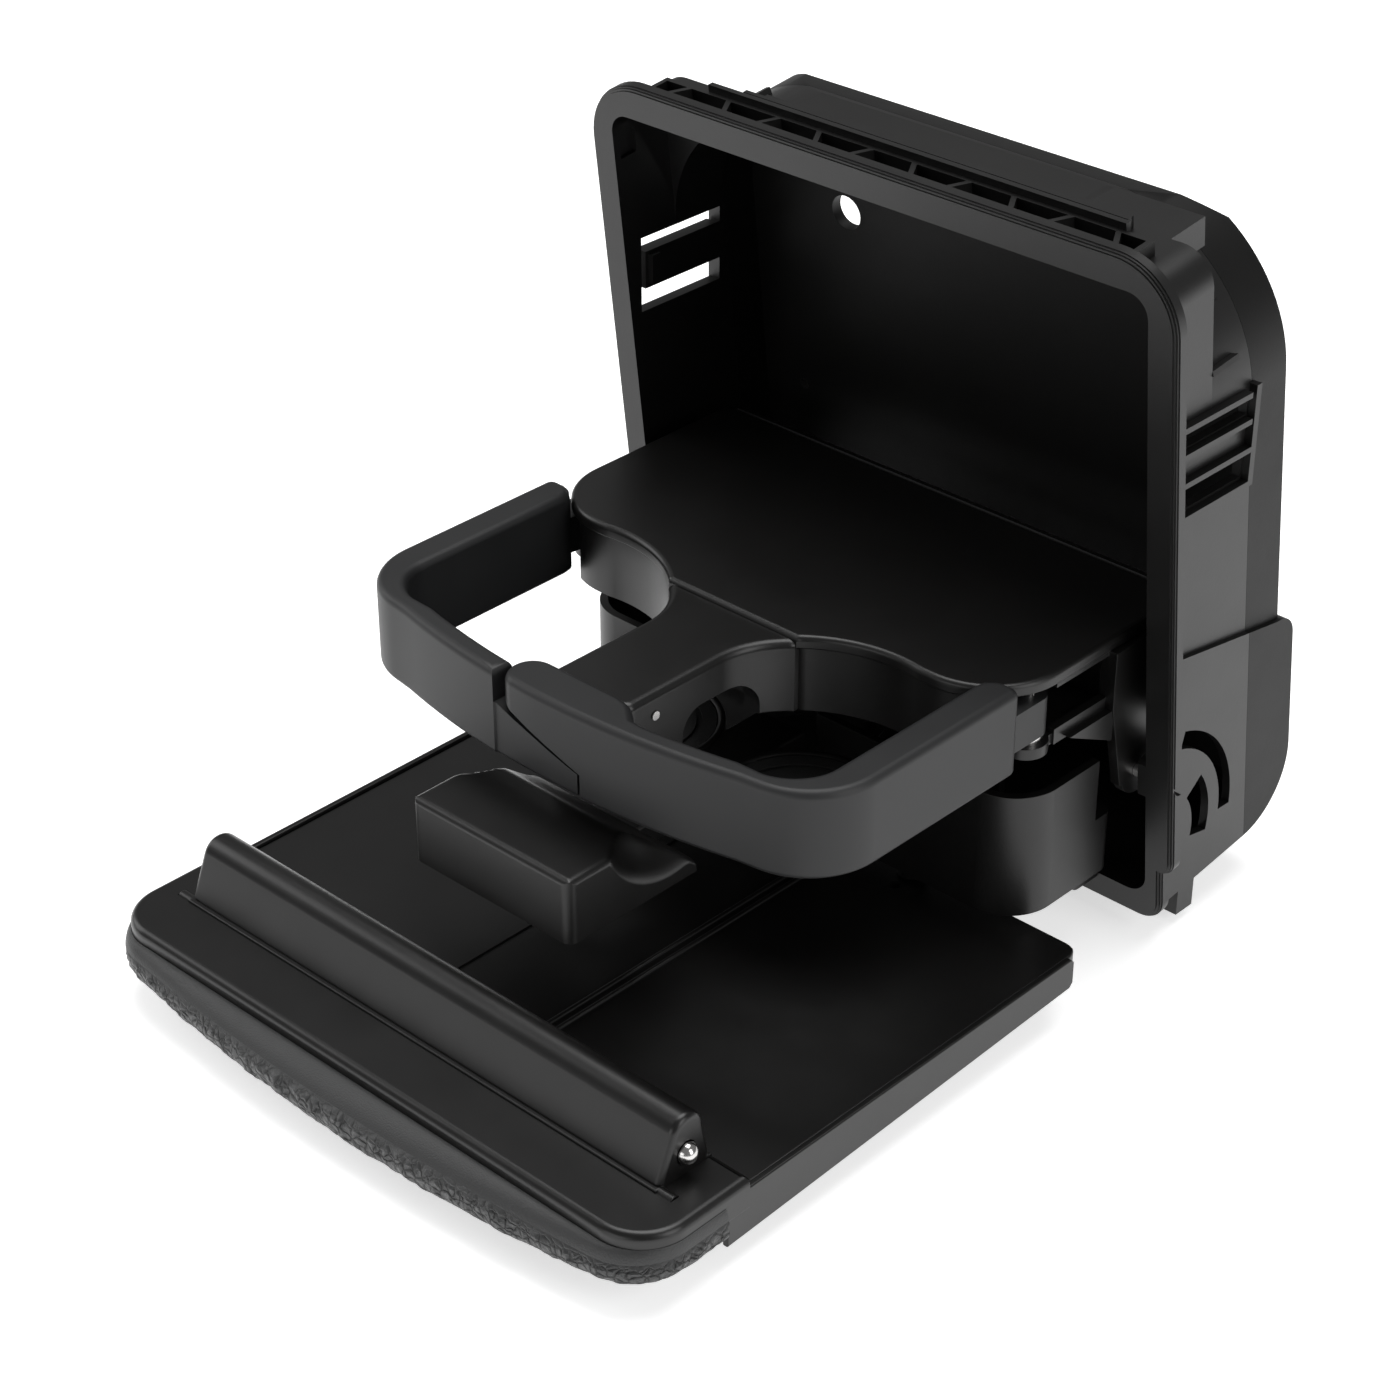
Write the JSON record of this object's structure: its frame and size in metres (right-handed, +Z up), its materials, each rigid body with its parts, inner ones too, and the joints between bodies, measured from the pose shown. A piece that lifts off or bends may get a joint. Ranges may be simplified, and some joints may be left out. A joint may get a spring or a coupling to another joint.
{
  "type": "car cup holder",
  "caption": "Fold-out car cup holder: framed tub with honeycomb-ribbed roof, hinged padded door, folding deck, opening cup rings and drop-down cup rest.",
  "frame": {"origin": "bottom centre of the open holder's bounding box, on the table", "axes": "+Z up, +X along the hinges to the holder's right as seen from the front, +Y from the open door back into the console"},
  "size_m": [0.19, 0.2635, 0.1999],
  "materials": {
    "housing_plastic": "fine satin grain, near black",
    "soft_touch_plastic": "satin soft-touch, charcoal",
    "door_leather": "coarse grained, matt",
    "foam_pad": "closed-cell foam",
    "rubber_pad": "matt",
    "bright_steel": "polished"
  },
  "bodies": {
    "housing": {"housing": "housing_plastic", "rear_shell": "housing_plastic", "shell_screws": "bright_steel", "door_pin_l": "bright_steel", "door_pin_r": "bright_steel", "deck_pin_l": "bright_steel", "deck_pin_r": "bright_steel"},
    "door": {"door_panel": "housing_plastic", "door_pad": "foam_pad", "door_skin": "door_leather", "lock_bar": "housing_plastic", "ball_spring_l": "bright_steel", "ball_spring_r": "bright_steel", "lower_cover": "housing_plastic", "cover_screws": "bright_steel", "rest_pin": "bright_steel"},
    "ball_l": {"ball_l": "bright_steel"},
    "ball_r": {"ball_r": "bright_steel"},
    "rest": {"cup_rest": "housing_plastic", "floor_pad_l": "rubber_pad", "floor_pad_r": "rubber_pad"},
    "deck": {"deck_plate": "housing_plastic", "deck_carrier": "housing_plastic", "spine": "housing_plastic", "spine_pin": "bright_steel", "arm_pin_l": "bright_steel", "arm_pin_r": "bright_steel", "arm_spring_l": "bright_steel", "arm_spring_r": "bright_steel"},
    "arm_l": {"arm_l": "soft_touch_plastic"},
    "arm_r": {"arm_r": "soft_touch_plastic"}
  },
  "joints": [
    {"name": "door_hinge", "type": "hinge", "parent": "housing", "child": "door", "pos_m": [0, 0.06678, 0.016], "axis": [-1, 0, 0], "range_deg": [0, 83.3]},
    {"name": "deck_hinge", "type": "hinge", "parent": "housing", "child": "deck", "pos_m": [0, 0.07378, 0.051], "axis": [-1, 0, 0], "range_deg": [0, 83.3]},
    {"name": "rest_hinge", "type": "hinge", "parent": "door", "child": "rest", "pos_m": [0, 0.05778, 0.035], "axis": [-1, 0, 0], "range_deg": [-10.01, 0]},
    {"name": "arm_l_swing", "type": "hinge", "parent": "deck", "child": "arm_l", "pos_m": [-0.074, 0.03378, 0.079], "axis": [0, 0, -1], "range_deg": [0, 2], "stiffness_Nm_per_rad": 0.3},
    {"name": "arm_r_swing", "type": "hinge", "parent": "deck", "child": "arm_r", "pos_m": [0.074, 0.03378, 0.079], "axis": [0, 0, 1], "range_deg": [0, 2], "stiffness_Nm_per_rad": 0.3},
    {"name": "ball_l_press", "type": "slide", "parent": "door", "child": "ball_l", "axis": [1, 0, 0], "range_m": [0, 0.0015], "stiffness_N_per_m": 400, "deforming": ["ball_spring_l"]},
    {"name": "ball_r_press", "type": "slide", "parent": "door", "child": "ball_r", "axis": [-1, 0, 0], "range_m": [0, 0.0015], "stiffness_N_per_m": 400, "deforming": ["ball_spring_r"]}
  ],
  "couplings": [
    {"joint": "deck_hinge", "follows": "door_hinge", "ratio": 1},
    {"joint": "rest_hinge", "follows": "door_hinge", "ratio": -0.12}
  ]
}
